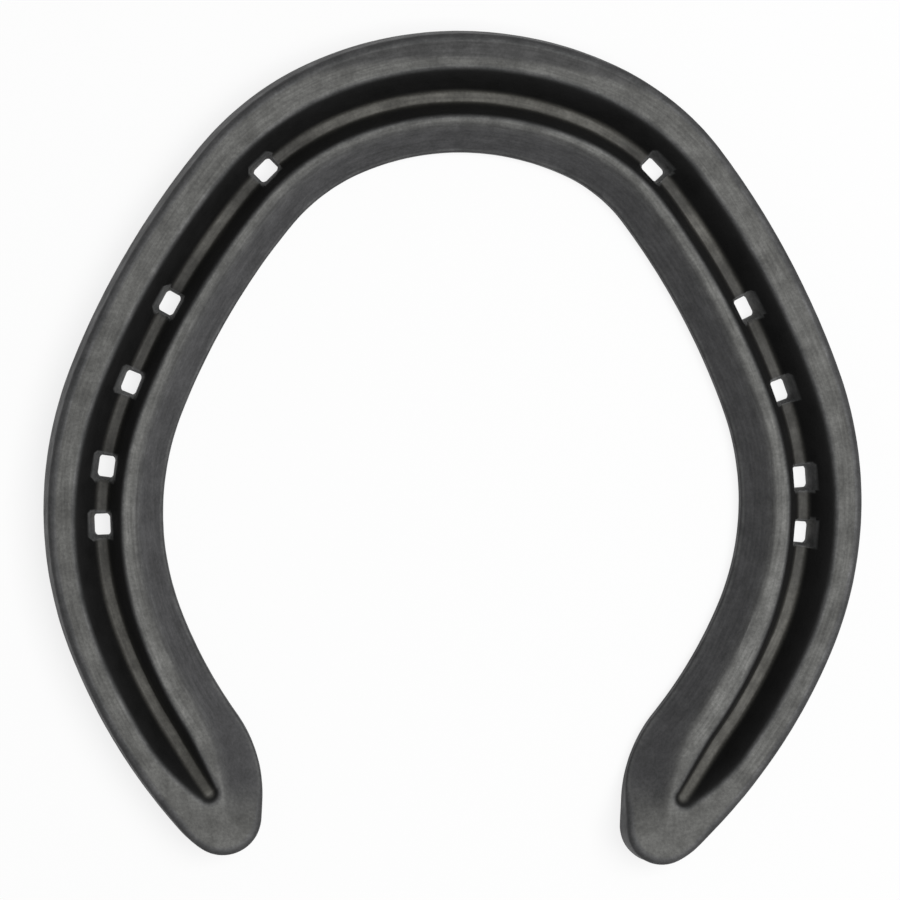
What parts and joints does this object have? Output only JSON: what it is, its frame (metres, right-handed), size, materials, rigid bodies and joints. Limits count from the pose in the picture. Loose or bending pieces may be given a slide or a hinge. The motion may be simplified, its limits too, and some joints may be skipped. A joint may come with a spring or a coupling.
{
  "type": "horseshoe",
  "caption": "Flat front horseshoe of creased concave bar with rectangular nail holes, a rolled toe and rounded heels, nailed under a hoof to guard it from wear.",
  "frame": {"origin": "centre of the outline, on the plane of the face that lies on the hoof", "axes": "+Y towards the toe, +X towards the right branch seen from the ground side, +Z from the hoof face to the ground face"},
  "size_m": [0.132, 0.134, 0.008],
  "materials": {
    "forged_steel": "dark forged mill scale, matt to satin"
  },
  "bodies": {
    "root": {"horseshoe": "forged_steel"}
  },
  "joints": []
}
